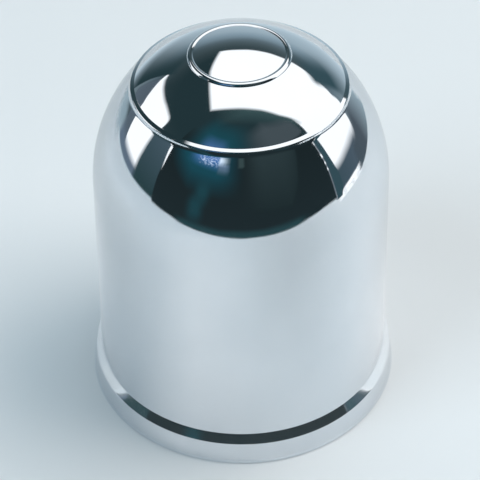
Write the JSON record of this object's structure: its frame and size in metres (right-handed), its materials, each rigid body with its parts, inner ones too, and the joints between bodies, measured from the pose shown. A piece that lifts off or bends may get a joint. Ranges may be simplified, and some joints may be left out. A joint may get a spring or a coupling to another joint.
{
  "type": "tow ball cover",
  "caption": "Hollow round chromed cap with a flared foot band, a stepped domed top and a raised bead ring, pushed down over a tow ball to cover it.",
  "frame": {"origin": "centre of the open mouth, on the plane of the rim that the cap stands on", "axes": "+Z along the cap's axis, from the mouth up to the dome; X and Y are free, because the cap is round"},
  "size_m": [0.0602, 0.0602, 0.0768],
  "materials": {
    "chrome_plating": "bright chrome plating on moulded plastic, mirror polished, with a faint waviness"
  },
  "bodies": {
    "root": {"cover": "chrome_plating"}
  },
  "joints": []
}
